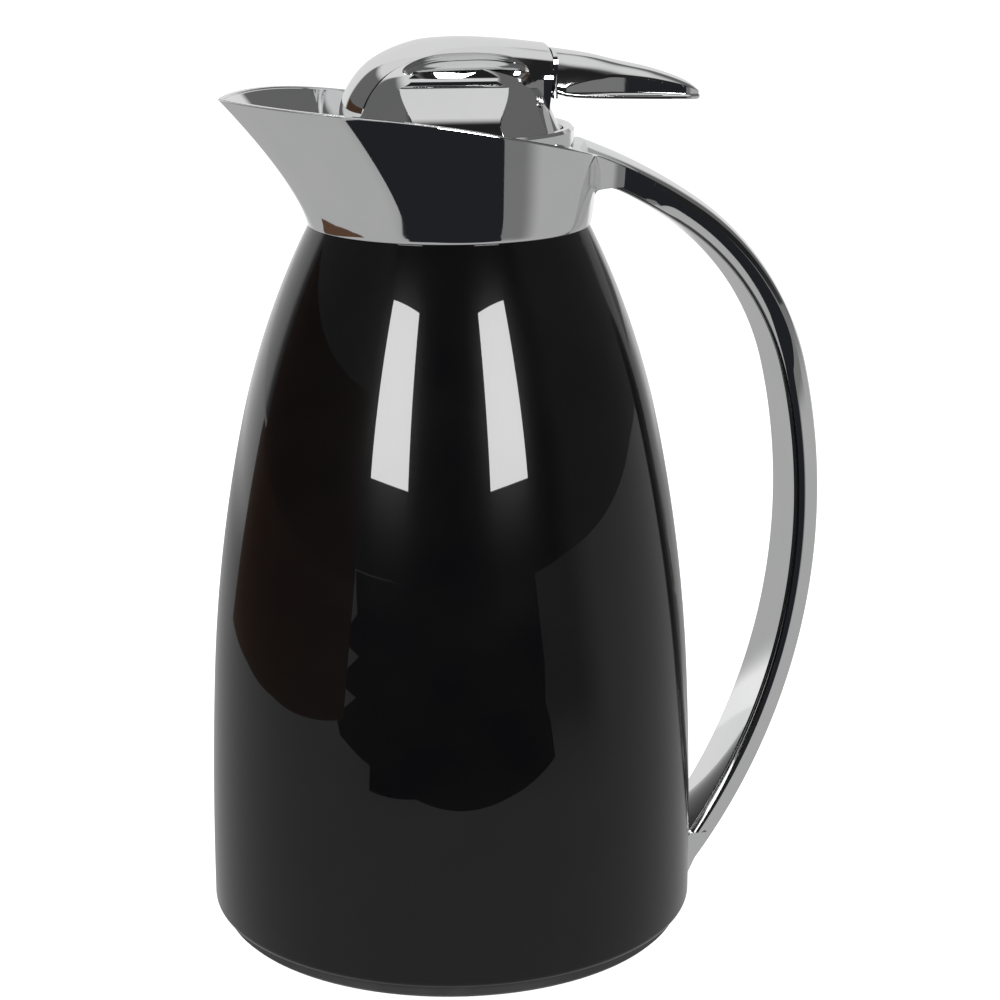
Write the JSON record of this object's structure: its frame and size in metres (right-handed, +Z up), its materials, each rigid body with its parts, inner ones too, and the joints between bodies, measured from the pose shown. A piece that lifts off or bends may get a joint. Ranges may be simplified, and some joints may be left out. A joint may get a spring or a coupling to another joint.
{
  "type": "thermal jug",
  "caption": "Round-shouldered insulated jug with a flared pouring collar, a loop handle and a screw-out lid whose thumb lever opens a pouring valve.",
  "frame": {"origin": "on the jug's axis, in the plane that it stands on", "axes": "+Z up; the spout points along -X and the handle along +X; the jug mirrors across the XZ plane"},
  "size_m": [0.1811, 0.14, 0.255],
  "materials": {
    "black_lacquer": "deep gloss",
    "bright_chrome": "mirror",
    "base_plastic": "fine satin",
    "foot_rubber": "matt",
    "silvered_glass": "silvered inside the wall",
    "cushion_rubber": "matt",
    "pad_felt": "soft",
    "white_silicone": "satin",
    "stopper_plastic": "satin",
    "insulation_foam": "cellular",
    "steel": "bright"
  },
  "bodies": {
    "root": {"body_casing": "black_lacquer", "base_plate": "base_plastic", "foot_ring": "foot_rubber", "flask_inner": "silvered_glass", "flask_outer": "silvered_glass", "flask_cushion": "cushion_rubber", "shoulder_pad": "pad_felt", "flask_gasket": "white_silicone", "neck_ring": "bright_chrome", "neck_nut": "base_plastic", "collar_and_handle": "bright_chrome", "handle_liner": "bright_chrome", "foot_screw": "steel"},
    "lid_carrier": {"stopper_seal": "white_silicone"},
    "lid_riser": {"stopper_insulation": "insulation_foam"},
    "lid": {"stopper_body": "stopper_plastic", "stopper_core": "stopper_plastic", "lid_plate": "stopper_plastic", "lid_cap": "bright_chrome", "lid_screws": "steel", "lever_pin": "steel", "stem_seal": "white_silicone", "valve_spring": "steel"},
    "lever": {"lever": "bright_chrome"},
    "valve": {"valve_stem": "stopper_plastic", "valve_seal": "white_silicone", "valve_disc": "stopper_plastic", "spring_washer": "steel"}
  },
  "joints": [
    {"name": "lid_lift", "type": "slide", "parent": "root", "child": "lid_carrier", "axis": [0, 0, 1], "range_m": [0, 0.08]},
    {"name": "lid_rise", "type": "slide", "parent": "lid_carrier", "child": "lid_riser", "axis": [0, 0, 1], "range_m": [0, 0.003]},
    {"name": "lid_turn", "type": "hinge", "parent": "lid_riser", "child": "lid", "pos_m": [0, 0, 0.2282], "axis": [0, 0, 1], "range_deg": [0, 90]},
    {"name": "lever_press", "type": "hinge", "parent": "lid", "child": "lever", "pos_m": [0.0215, 0, 0.2385], "axis": [0, 1, 0], "range_deg": [0, 12], "stiffness_Nm_per_rad": 1.2, "springref_deg": -6.88},
    {"name": "valve_lift", "type": "slide", "parent": "lid", "child": "valve", "axis": [0, 0, 1], "range_m": [0, 0.0046], "deforming": ["valve_spring"]}
  ],
  "couplings": [
    {"joint": "valve_lift", "follows": "lever_press", "m_per_rad": 0.0215},
    {"joint": "lid_rise", "follows": "lid_turn", "m_per_rad": 0.00191}
  ]
}
